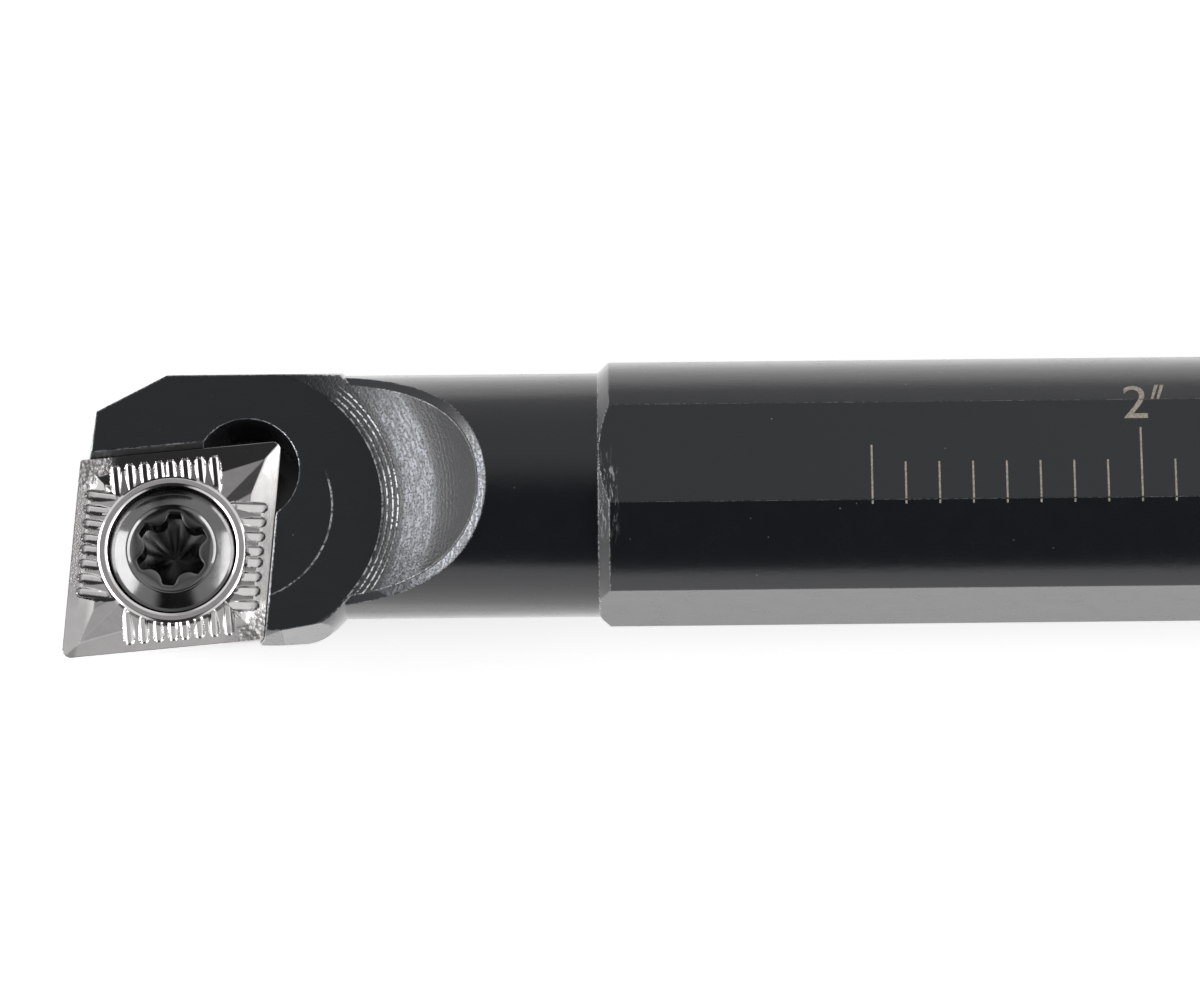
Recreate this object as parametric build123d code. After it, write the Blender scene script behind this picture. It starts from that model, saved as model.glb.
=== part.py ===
from build123d import *
from math import cos, radians, sin, sqrt, tan
import os

# Indexable boring bar, right hand, in millimetres.
# The bar lies along X. The origin is the centre of the rear end face, the cutting end points to -X,
# the cutting side faces -Y and the scale flat faces +Z. Distances along the bar are stations,
# measured from the cutting tip towards the rear, and station() turns one into an X.

# Bar
overall_length = 152.4
shank_diameter = 12.7
top_flat_depth = 0.49
side_flat_depth = 0.58
rear_chamfer = 0.8
neck_diameter = 11.68
shank_start = 25.6
tip_offset = 7.94

# Head
head_length = 13.5
head_side_reach = 7.1
head_back_reach = 5.93
head_shoulder_angle = 45
head_shoulder_round = 3.0
head_blank_allowance = 0.02
front_setback = 0.9
front_lead_angle = 6
front_relief_angle = 8
back_corner_station = 4.95
back_corner_reach = 5.24
back_corner_angle = 27
side_relief_station = 9.25
side_relief_angle = 10
side_relief_lean = 6
insert_rake = 8.5
insert_lead = 5
head_flat_rise = 0.95

# Chip gullet
gullet_station = 8.75
gullet_offset = 0.88
gullet_floor_radius = 6.64
gullet_wall_radius = 9.6
gullet_wall_start_angle = 21
gullet_wall_end_angle = 66
gullet_rim_chamfer = 0.3

# Insert
inscribed_circle = 9.525
insert_thickness = 3.97
insert_angle = 80
nose_radius = 0.4
insert_clearance_angle = 7
insert_hole_diameter = 4.4
screw_seat_angle = 60
edge_land = 0.03
land_width = 0.42
groove_corner_radius = 0.1
groove_depth = 0.17
seat_diameter = 6.2
seat_drop = 0.45
ring_width = 0.46
ring_edge = 0.12
ring_rise = 0.06
ribs_a_side = 8
rib_width = 0.4
rib_height = 0.12
rib_flank_angle = 35
rib_pitch = 0.7
rib_middle_gap = 0.55
rib_end_gap = 0.02
sharp_ridge_width = 2.1
sharp_ridge_belly = 4.5
blunt_ridge_width = 1.0
blunt_ridge_belly = 4.1
ridge_end_gap = 0.35

# Pocket
seat_clearance = 0.02
corner_bore_diameter = 5.0
corner_bore_inset = 0.22
corner_bore_depth = 0.3

# Screw
screw_diameter = 4.0
screw_end_recess = 0.35
screw_end_chamfer = 0.4
screw_head_recess = 0.08
screw_seat_clearance = 0.02
screw_rim_gap = 0.12
thread_clearance = 0.05
collar_width = 0.82
collar_bulge = 0.03
dish_lip = 0.12
socket_points_diameter = 3.5
socket_waist_diameter = 2.6
socket_flute_radius = 0.62
socket_point_radius = 0.12
socket_side_depth = 1.0
socket_floor_depth = 1.6
socket_turn = 20

# Derived sizes
shank_radius = shank_diameter / 2
neck_radius = neck_diameter / 2
head_radius = (head_side_reach + head_back_reach) / 2
head_offset = (head_side_reach - head_back_reach) / 2
insert_radius = inscribed_circle / 2
half_angle = insert_angle / 2
seat_radius = seat_diameter / 2
ring_radius = seat_radius + ring_width / 2
groove_radius = insert_radius - land_width
screw_seat_slope = tan(radians(screw_seat_angle / 2))
seat_top = ring_rise - seat_drop
screw_head_top = ring_rise - screw_head_recess
screw_head_radius = seat_radius - screw_rim_gap
screw_rim = seat_top - (screw_rim_gap - screw_seat_clearance) / screw_seat_slope
beyond = 3 * shank_diameter
overrun = 0.5


def station(distance):
    return distance - overall_length


# Planes: the rake plane holds the insert's cutting edges, and tips down towards the cutting side.
rake_normal = Vector(0, -sin(radians(insert_rake)), cos(radians(insert_rake)))
nose_centre = Vector(station(nose_radius), nose_radius - tip_offset, 0)
rake_plane = Plane(origin=nose_centre, x_dir=(1, 0, 0), z_dir=rake_normal)
nose_to_centre = (insert_radius - nose_radius) / sin(radians(half_angle))
insert_centre = rake_plane.from_local_coords(
    Vector(nose_to_centre, 0, 0).rotate(Axis.Z, insert_lead + half_angle)
)
insert_x = rake_plane.location * Location((0, 0, 0), (0, 0, insert_lead))
insert_plane = Plane(origin=insert_centre, x_dir=Plane(insert_x).x_dir, z_dir=rake_normal)


def is_between(point, near, far):
    """Whether a point's station lies between two others."""
    return station(near) < point.X < station(far)


def rhombus_corners(radius):
    """Corners of the insert's rhombus round an inscribed circle, from the cutting corner on."""
    sharp = radius / sin(radians(half_angle))
    blunt = radius / cos(radians(half_angle))
    turns = ((sharp, 180), (blunt, 270), (sharp, 0), (blunt, 90))
    return [Vector(reach, 0).rotate(Axis.Z, half_angle + turn) for reach, turn in turns]


def rhombus(radius, corner_radius):
    face = make_face(Polyline(*rhombus_corners(radius), close=True))
    return fillet(face.vertices(), corner_radius)


def turned_bar():
    """Neck and shank in one turned profile."""
    front = station(head_length - neck_radius)
    shoulder = station(shank_start)
    step = shank_radius - neck_radius
    outline = Polyline(
        (front, 0),
        (front, neck_radius),
        (shoulder, neck_radius),
        (shoulder + step, shank_radius),
        (-rear_chamfer, shank_radius),
        (0, shank_radius - rear_chamfer),
        (0, 0),
        close=True,
    )
    return revolve(make_face(outline), Axis.X)


def shank_flats():
    """Four flats along the whole shank: top and bottom, and the two sides."""
    front = station(shank_start)
    slab = Box(-front, shank_diameter, shank_radius)
    cuts = []
    for turn, depth in ((0, top_flat_depth), (90, side_flat_depth)):
        height = shank_radius - depth + shank_radius / 2
        cuts.append(Rot(turn, 0, 0) * Pos(front / 2, 0, height) * slab)
        cuts.append(Rot(turn + 180, 0, 0) * Pos(front / 2, 0, height) * slab)
    return cuts


def head_blank():
    """Head turned off centre, so that it reaches further to the cutting side than to the back."""
    front = station(0)
    end = station(head_length)
    turned = Rot(0, 90, 0) * Cylinder(head_radius, head_length)
    off_centre = Pos(station(head_length / 2), -head_offset, 0) * turned
    slope = tan(radians(head_shoulder_angle))
    blank_radius = head_side_reach + head_blank_allowance
    corner = end - (blank_radius - neck_radius) / slope
    start = corner - head_shoulder_round * tan(radians(head_shoulder_angle / 2))
    turn = JernArc((start, blank_radius), (1, 0), head_shoulder_round, -head_shoulder_angle)
    outline = Curve() + [
        Line((front, 0), (front, blank_radius)),
        Line((front, blank_radius), turn @ 0),
        turn,
        Line(turn @ 1, (end, neck_radius)),
        Line((end, neck_radius), (end, 0)),
        Line((end, 0), (front, 0)),
    ]
    shoulder = revolve(make_face(outline), Axis.X)
    return (off_centre & shoulder) - side_relief()


def side_relief():
    """Everything outside the flat that runs inwards behind the insert on the head's cutting side."""
    centre = Pos(station(side_relief_station), -head_offset, 0) * Rot(side_relief_lean, 0, 0)
    face = centre * Pos(0, -head_radius, 0) * Rot(0, 0, side_relief_angle)
    return face * Pos(0, -beyond / 2, 0) * Box(beyond, beyond, beyond)


def front_cuts():
    """The slanted front face and the chamfered corner at the back of the head."""
    face = Location((station(front_setback), 0, 0), (0, front_relief_angle, -front_lead_angle))
    front = face * Pos(-beyond / 2, 0, 0) * Box(beyond, beyond, beyond)
    corner = Location((station(back_corner_station), back_corner_reach, 0), (0, 0, back_corner_angle))
    back = corner * Pos(0, beyond / 2, 0) * Box(beyond, beyond, beyond)
    return [front, back]


def gullet():
    """Cut over the head's flat, and behind it a round scoop whose wall rises into the neck."""
    rise = radians(gullet_wall_start_angle)
    floor = (gullet_floor_radius, 0)
    sweep = gullet_wall_end_angle - gullet_wall_start_angle
    wall = JernArc(floor, (cos(rise), sin(rise)), gullet_wall_radius, sweep)
    top = wall @ 1 + (wall % 1) * beyond
    outline = Curve() + [
        Line((0, 0), floor),
        wall,
        Line(wall @ 1, top),
        Line(top, (0, top.Y)),
        Line((0, top.Y), (0, 0)),
    ]
    seam_in_front = Rot(0, 0, 180)
    scoop = seam_in_front * revolve(Plane.XZ * make_face(outline), Axis.Z)
    slab = Pos(-beyond / 2, 0, beyond / 2) * Box(beyond, beyond, beyond)
    across = tip_offset - nose_radius - gullet_offset
    return rake_plane * Pos(gullet_station - nose_radius, across, head_flat_rise) * (slab + scoop)


def gullet_rim(body):
    """Edges where the scoop breaks out through the neck."""
    neck = [edge for edge in body.edges() if is_between(edge @ 0.5, head_length, shank_start)]
    return [edge for edge in neck if edge.geom_type not in (GeomType.CIRCLE, GeomType.LINE)]


def pocket():
    """Seat of the insert: its two walls lean out with the insert's flanks, the other sides are open."""
    lean = tan(radians(insert_clearance_angle))

    def outline(height):
        wall = insert_radius + height * lean + seat_clearance
        inner = rhombus_corners(wall)[2]
        along_back = inner + Vector(-beyond, 0)
        along_side = inner - Vector(beyond, 0).rotate(Axis.Z, insert_angle)
        outer = along_back + along_side - inner
        return Pos(0, 0, height) * make_face(Polyline(inner, along_back, outer, along_side, close=True))

    return insert_plane * loft([outline(-insert_thickness), outline(shank_radius)], ruled=True)


def corner_bore():
    """Round relief where the pocket's walls meet, so that the insert's inner corner touches nothing."""
    radius = corner_bore_diameter / 2
    inner_corner = rhombus_corners(insert_radius)[2]
    reach = inner_corner.length - radius + corner_bore_inset
    centre = inner_corner.normalized() * reach
    depth = insert_thickness + corner_bore_depth
    bore = Cylinder(radius, depth + shank_radius, align=(Align.CENTER, Align.CENTER, Align.MIN))
    return insert_plane * Pos(centre.X, centre.Y, -depth) * bore


def bar_body():
    body = turned_bar() - shank_flats() + head_blank()
    body -= front_cuts()
    body -= gullet()
    body = chamfer(gullet_rim(body), gullet_rim_chamfer)
    body -= pocket()
    body -= corner_bore()
    screw_hole = Cylinder(screw_diameter / 2 + thread_clearance, beyond)
    return body - insert_plane * screw_hole


def groove():
    """Chip groove: a shallow tray whose sides slope down from the cutting edges."""
    rim = rhombus(insert_radius - edge_land, nose_radius)
    floor = Pos(0, 0, -groove_depth) * rhombus(groove_radius, groove_corner_radius)
    return loft([rim, floor], ruled=True)


def ring():
    """Ring with eased edges that stands round the screw hole."""
    outer = seat_radius + ring_width
    section = Polyline(
        (seat_radius, -groove_depth),
        (seat_radius, ring_rise),
        (outer - ring_edge, ring_rise),
        (outer, ring_rise - ring_edge),
        (outer, -groove_depth),
        close=True,
    )
    return revolve(Plane.XZ * make_face(section), Axis.Z)


def ribs():
    """Round-ended ribs that cross the groove floor from the ring towards each edge."""
    tip = groove_radius - rib_end_gap
    made = []
    for side in (-90, insert_angle - 90, 90, insert_angle + 90):
        for place in range(ribs_a_side):
            step = place - (ribs_a_side - 1) / 2
            middle_shift = (rib_middle_gap - rib_pitch) / 2
            offset = step * rib_pitch + (middle_shift if step > 0 else -middle_shift)
            start = sqrt(ring_radius**2 - offset**2)
            slot = Pos((start + tip) / 2, offset) * SlotOverall(tip - start, rib_width)
            rib = extrude(slot, rib_height, taper=rib_flank_angle)
            made.append(Rot(0, 0, side) * Pos(0, 0, -groove_depth) * rib)
    return made


def corner_ridge(turn, width, belly, corner_reach):
    """Kite-shaped ridge that falls from the ring to the groove floor at a corner."""
    tip = corner_reach - ridge_end_gap
    outline = Polyline((ring_radius, 0), (belly, width / 2), (tip, 0), (belly, -width / 2), close=True)
    kite = Pos(0, 0, -groove_depth) * make_face(outline)
    return Rot(0, 0, turn) * loft([kite, Vertex(ring_radius, 0, 0)])


def corner_ridges():
    sharp = groove_radius / sin(radians(half_angle))
    blunt = groove_radius / cos(radians(half_angle))
    ridges = []
    for turn in (half_angle, half_angle + 180):
        ridges.append(corner_ridge(turn, sharp_ridge_width, sharp_ridge_belly, sharp))
        ridges.append(corner_ridge(turn + 90, blunt_ridge_width, blunt_ridge_belly, blunt))
    return ridges


def insert_hole():
    """Through hole with the cone that the screw's head bears on, and the straight bore over it."""
    hole = insert_hole_diameter / 2
    cone_height = (seat_radius - hole) / screw_seat_slope
    outline = Polyline(
        (0, -insert_thickness - overrun),
        (hole, -insert_thickness - overrun),
        (hole, seat_top - cone_height),
        (seat_radius, seat_top),
        (seat_radius, ring_rise + overrun),
        (0, ring_rise + overrun),
        close=True,
    )
    return revolve(Plane.XZ * make_face(outline), Axis.Z)


def cutting_insert():
    blank = rhombus(insert_radius, nose_radius)
    body = extrude(blank, insert_thickness, dir=(0, 0, -1), taper=insert_clearance_angle)
    body -= groove()
    body += ribs()
    body += corner_ridges()
    body += ring()
    body -= insert_hole()
    return insert_plane * body


def screw_length():
    """From the rake plane to the head's underside, along the screw, less the recess of its end."""
    side = insert_centre.Y + head_offset
    lean = side * sin(radians(insert_rake)) - insert_centre.Z * cos(radians(insert_rake))
    return sqrt(lean**2 - side**2 - insert_centre.Z**2 + head_radius**2) - lean - screw_end_recess


def socket():
    """Six-lobed drive socket with a drilled floor."""
    flute_reach = socket_waist_diameter / 2 + socket_flute_radius
    flutes = [
        Rot(0, 0, socket_turn + turn) * Pos(flute_reach, 0) * Circle(socket_flute_radius)
        for turn in range(30, 360, 60)
    ]
    star = Circle(socket_points_diameter / 2) - flutes
    star = fillet(star.vertices(), socket_point_radius)
    floor = Polyline(
        (0, -socket_floor_depth),
        (socket_points_diameter / 2, -socket_side_depth),
        (socket_points_diameter / 2, overrun),
        (0, overrun),
        close=True,
    )
    drilled = revolve(Plane.XZ * make_face(floor), Axis.Z)
    return Pos(0, 0, overrun) * extrude(star, -socket_floor_depth - overrun) & drilled


def insert_screw():
    """Countersunk screw with a rounded collar and a shallow dish round its socket."""
    shank = screw_diameter / 2
    top = screw_head_top
    end = -screw_length()
    rim = screw_rim
    cone_height = (screw_head_radius - shank) / screw_seat_slope
    crest = screw_head_radius - collar_width
    collar = SagittaArc((screw_head_radius, rim), (crest, top), -collar_bulge)
    outline = Curve() + [
        Line((0, end), (shank - screw_end_chamfer, end)),
        Line((shank - screw_end_chamfer, end), (shank, end + screw_end_chamfer)),
        Line((shank, end + screw_end_chamfer), (shank, rim - cone_height)),
        Line((shank, rim - cone_height), (screw_head_radius, rim)),
        collar,
        Line((crest, top), (crest - dish_lip, top - dish_lip)),
        Line((crest - dish_lip, top - dish_lip), (0, top - dish_lip)),
        Line((0, top - dish_lip), (0, end)),
    ]
    turned = revolve(Plane.XZ * make_face(outline), Axis.Z)
    return insert_plane * (turned - Pos(0, 0, top - dish_lip) * socket())


nodes = {
    "bar_body": bar_body(),
    "cutting_insert": cutting_insert(),
    "insert_screw": insert_screw(),
}

os.makedirs("parts", exist_ok=True)
for name, shape in nodes.items():
    shape.label = name
    export_step(shape, f"parts/{name}.step")
    print(name, round(shape.volume, 1), shape.bounding_box())
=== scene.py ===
"""Indexable boring bar: its real finishes, its fine forms and a small studio round it."""

import logging
import math
from collections.abc import Iterable, Sequence
from dataclasses import dataclass
from enum import Enum
from functools import cached_property, reduce
from typing import Any

import bmesh
import bpy
import numpy as np
from mathutils import Matrix, Vector


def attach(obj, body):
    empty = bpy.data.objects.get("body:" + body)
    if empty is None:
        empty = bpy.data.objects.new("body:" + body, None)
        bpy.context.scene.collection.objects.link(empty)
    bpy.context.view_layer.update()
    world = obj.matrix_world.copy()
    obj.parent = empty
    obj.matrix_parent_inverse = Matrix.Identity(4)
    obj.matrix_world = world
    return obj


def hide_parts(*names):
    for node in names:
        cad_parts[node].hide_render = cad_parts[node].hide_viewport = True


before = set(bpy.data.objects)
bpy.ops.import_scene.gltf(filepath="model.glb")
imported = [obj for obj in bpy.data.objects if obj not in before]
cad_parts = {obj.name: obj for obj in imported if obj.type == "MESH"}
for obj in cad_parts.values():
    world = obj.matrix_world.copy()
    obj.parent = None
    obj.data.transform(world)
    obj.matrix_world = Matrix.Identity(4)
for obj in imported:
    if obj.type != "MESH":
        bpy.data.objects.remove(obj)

logging.basicConfig(level=logging.INFO, format="%(name)s: %(message)s")
log = logging.getLogger("boring_bar")

MM = 0.001
BODY = "root"
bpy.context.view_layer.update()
WHITE = (1.0, 1.0, 1.0, 1.0)
NOWHERE = -9.0  # A height under every form, in millimetres.

Socket = bpy.types.NodeSocket
Span = tuple[float, float]
Ramp = tuple[float, float, float, float]  # Two values of a pattern, and what the ramp gives at each.


def linear(colour: str) -> tuple[float, float, float, float]:
    """Turns an sRGB colour into the linear one that a shader takes.

    Args:
        colour: Six hex digits, with or without a leading hash.

    Returns:
        Red, green, blue and an alpha of 1.
    """
    parts = [int(colour.lstrip("#")[at:at + 2], 16) / 255 for at in (0, 2, 4)]
    red, green, blue = (p / 12.92 if p <= 0.04045 else ((p + 0.055) / 1.055) ** 2.4 for p in parts)
    return red, green, blue, 1.0


@dataclass
class Nodes:
    """A node tree that grows from its first node to its last."""

    tree: bpy.types.NodeTree

    def add(self, kind: str, inputs: Sequence | dict = (), output: int | str = 0, **settings: Any) -> Any:
        """Adds a node with its settings and links. A pattern follows the place on the part by default.

        Args:
            kind: The node's type, such as Bump.
            inputs: Values or the outputs that feed them, in the inputs' order or by their name or number.
            output: Name or number of the output that is wanted.
            **settings: Attributes of the node.

        Returns:
            The wanted output, or None for a node that ends the tree.
        """
        made = self.tree.nodes.new("ShaderNode" + kind)
        for name, value in settings.items():
            setattr(made, name, value)
        given = dict(inputs) if isinstance(inputs, dict) else dict(enumerate(inputs))
        if kind in ("TexNoise", "TexVoronoi"):
            given.setdefault("Vector", self.place)
        for key, value in given.items():
            if isinstance(value, Socket):
                self.tree.links.new(value, made.inputs[key])
            else:
                made.inputs[key].default_value = value
        return made.outputs[output] if made.outputs else None

    @cached_property
    def place(self) -> Socket:
        """The place on the part in millimetres."""
        metres = self.add("TexCoord", output="Object")
        return self.add("VectorMath", {0: metres, "Scale": 1 / MM}, operation="SCALE")

    def combine(self, operation: str, *values: Any) -> Socket:
        """Folds several numbers or outputs into one.

        Args:
            operation: The math operation, such as MAXIMUM.
            *values: What it takes, from left to right.

        Returns:
            The result.
        """
        return reduce(lambda left, right: self.add("Math", (left, right), operation=operation), values)

    def axis_distance(self, point: Vector, axis: Vector) -> Socket:
        """Distance of the surface from an axis.

        Args:
            point: A point on the axis, in millimetres.
            axis: The axis's direction.

        Returns:
            The distance in millimetres.
        """
        away = self.add("VectorMath", (self.place, point), operation="SUBTRACT")
        across = self.add("VectorMath", (away, axis), operation="CROSS_PRODUCT")
        return self.add("VectorMath", (across,), "Value", operation="LENGTH")

    def near(self, value: Socket, target: Any, width: float) -> Socket:
        """A soft mask that is 1 where a value meets a target.

        Args:
            value: The value.
            target: A number or an output.
            width: How far the mask reaches to each side.

        Returns:
            The mask.
        """
        gap = self.add("Math", (self.combine("SUBTRACT", value, target),), operation="ABSOLUTE")
        return self.add("MapRange", (gap, width / 3, width, 1.0, 0.0), interpolation_type="SMOOTHSTEP")

    def window(self, value: Socket, span: Span, soft: float) -> Socket:
        """A mask that is 1 between two values, with soft ends.

        Args:
            value: The value.
            span: The two values, where the mask is a half.
            soft: How far each end reaches to both sides.

        Returns:
            The mask.
        """
        ends = ((value, end - reach, end + reach) for end, reach in zip(span, (soft, -soft)))
        masks = (self.add("MapRange", end, interpolation_type="SMOOTHSTEP") for end in ends)
        return self.combine("MULTIPLY", *masks)


def empty_material(name: str) -> tuple[bpy.types.Material, Nodes]:
    """Makes a material with no nodes yet.

    Args:
        name: The material's name.

    Returns:
        The material and its nodes.
    """
    material = bpy.data.materials.new(name)
    material.use_nodes = True
    material.node_tree.nodes.clear()
    return material, Nodes(material.node_tree)


def new_object(name: str, data: bpy.types.ID) -> bpy.types.Object:
    """Puts data into the scene as an object.

    Args:
        name: The object's name.
        data: Its mesh, curve, lamp or camera.

    Returns:
        The new object.
    """
    made = bpy.data.objects.new(name, data)
    bpy.context.scene.collection.objects.link(made)
    return made


def new_piece(name: str, mesh: bpy.types.Mesh) -> bpy.types.Object:
    """Puts a mesh into the scene as a piece that rides on the bar's only body.

    Args:
        name: The piece's name.
        mesh: Its mesh, in metres in the shared frame.

    Returns:
        The new object.
    """
    piece = new_object(name, mesh)
    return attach(piece, BODY)


def dress(piece: bpy.types.Object, material: bpy.types.Material) -> None:
    """Gives a piece its one material.

    Args:
        piece: The object to dress.
        material: Its finish.
    """
    piece.data.materials.clear()
    piece.data.materials.append(material)


def outwards(mesh: bpy.types.Mesh) -> None:
    """Turns all the faces of a closed mesh outwards."""
    made = bmesh.new()
    made.from_mesh(mesh)
    bmesh.ops.recalc_face_normals(made, faces=made.faces)
    made.to_mesh(mesh)
    made.free()


def ramp(value: np.ndarray, low: float, high: float) -> np.ndarray:
    """Smooth step from 0 at low to 1 at high.

    Args:
        value: Where to take the step.
        low: The value where it starts.
        high: The value where it ends, which may be the lower of the two.

    Returns:
        The step's height at each value.
    """
    share = np.clip((value - low) / (high - low), 0, 1)
    return share * share * (3 - 2 * share)


def slope(degrees: float) -> float:
    """Rise over run of a face at an angle."""
    return math.tan(math.radians(degrees))


def towards(x: np.ndarray, y: np.ndarray, turn: float) -> tuple[np.ndarray, np.ndarray]:
    """Measures points from the middle in a turned frame.

    Args:
        x: Points along the insert.
        y: Points across it.
        turn: The direction of the frame, in radians.

    Returns:
        How far the points lie in the direction, and to the left of it.
    """
    return x * math.cos(turn) + y * math.sin(turn), y * math.cos(turn) - x * math.sin(turn)


def off_angle(turn: np.ndarray, centre: float) -> np.ndarray:
    """Signed angle in radians from a direction, within half a turn."""
    return (turn - centre + math.pi) % (2 * math.pi) - math.pi


class Corner(Enum):
    """The insert's four corners, each with its direction from the middle in degrees."""

    REAR = 40
    FRONT = 130
    CUTTING = 220
    SIDE = 310

    @property
    def sharp(self) -> bool:
        """Whether the corner is one of the two that cut."""
        return self in (Corner.REAR, Corner.CUTTING)


@dataclass(frozen=True)
class Seat:
    """Where the insert and its screw sit on the bar, in millimetres and degrees."""

    bar_length: float = 152.4
    tip_offset: float = 7.94
    nose_radius: float = 0.4
    inscribed_circle: float = 9.525
    included_angle: float = 80
    rake: float = 8.5
    lead: float = 5

    def station(self, distance: float) -> float:
        """X of a point at a distance behind the cutting tip."""
        return distance - self.bar_length

    def half_angle(self, corner: Corner) -> float:
        """Half of the angle at a corner, in degrees."""
        half = self.included_angle / 2
        return half if corner.sharp else 90 - half

    def rake_axes(self) -> tuple[Vector, Vector, Vector]:
        """Axes of the rake plane: along the bar, across it and square to the plane."""
        sine, cosine = math.sin(math.radians(self.rake)), math.cos(math.radians(self.rake))
        return Vector((1, 0, 0)), Vector((0, cosine, sine)), Vector((0, -sine, cosine))

    def rake_point(self, along: float, across: float, above: float) -> Vector:
        """A point given in the rake plane's own axes from the centre of the cutting nose.

        Args:
            along: Distance along the bar.
            across: Distance across it, away from the cutting side.
            above: Height over the rake plane.

        Returns:
            The point in the bar's frame, in millimetres.
        """
        nose = Vector((self.station(self.nose_radius), self.nose_radius - self.tip_offset, 0))
        x_axis, y_axis, z_axis = self.rake_axes()
        return nose + x_axis * along + y_axis * across + z_axis * above

    def insert_matrix(self) -> Matrix:
        """Matrix from the insert's millimetres, middle of its top face, to the shared frame in metres."""
        half = math.radians(self.included_angle / 2)
        lead = math.radians(self.lead)
        reach = (self.inscribed_circle / 2 - self.nose_radius) / math.sin(half)
        middle = self.rake_point(reach * math.cos(lead + half), reach * math.sin(lead + half), 0)
        x_axis, y_axis, z_axis = self.rake_axes()
        turned_x = x_axis * math.cos(lead) + y_axis * math.sin(lead)
        turned_y = y_axis * math.cos(lead) - x_axis * math.sin(lead)
        turn = Matrix((turned_x, turned_y, z_axis)).transposed().to_4x4()
        return Matrix.Scale(MM, 4) @ Matrix.Translation(middle) @ turn


@dataclass(frozen=True)
class ToolMarks:
    """Marks that the round cutter left in the gullet and on the head's flat, in millimetres and degrees."""

    station: float = 8.75
    offset: float = 0.88
    flat_rise: float = 0.95
    floor_radius: float = 6.64
    wall_radius: float = 9.6
    wall_start: float = 21
    wall_reach: Span = (1.6, 2.6)
    wall_slack: float = 0.06
    flat_slack: float = 0.03
    lowest: float = -0.02
    # Step lines: real small ridges of the cutter's passes, painted pale along their length as a highlight.
    first_line: float = 6.56
    step_lines: tuple[float, ...] = (6.8, 7.06, 7.3)
    step_width: float = 0.055
    line_reach: Span = (-43, 49)
    line_fade: float = 4
    # Where the painted highlight lies on the scoop's wall: a paler, metallic band that fades at its ends.
    band: Span = (7.5, 9.15)
    band_fade: float = 0.25
    band_reach: Span = (-36, 36)
    band_end_fade: float = 9
    band_shares: Span = (0.6, 0.4)
    # The rim chamfer gets the same painted highlight, only along the stretch that catches the lamp.
    chamfer_inset: float = 0.015
    chamfer_rise: float = 0.4
    chamfer_reach: Span = (-37, 16)
    lap_radius: float = 4.6
    lap_shift: float = -0.45
    lap_reach: Span = (-70, 20)
    lap_fade: float = 6
    pocket_end: float = 10.5
    pocket_facing: float = 0.9

    def centre(self, seat: Seat, shift: float = 0) -> Vector:
        """Centre of the scoop's circle on the flat.

        Args:
            seat: The place of the insert.
            shift: How far along the bar the centre moves.

        Returns:
            The centre in the bar's frame, in millimetres.
        """
        across = seat.tip_offset - seat.nose_radius - self.offset
        return seat.rake_point(self.station - seat.nose_radius + shift, across, self.flat_rise)


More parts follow.
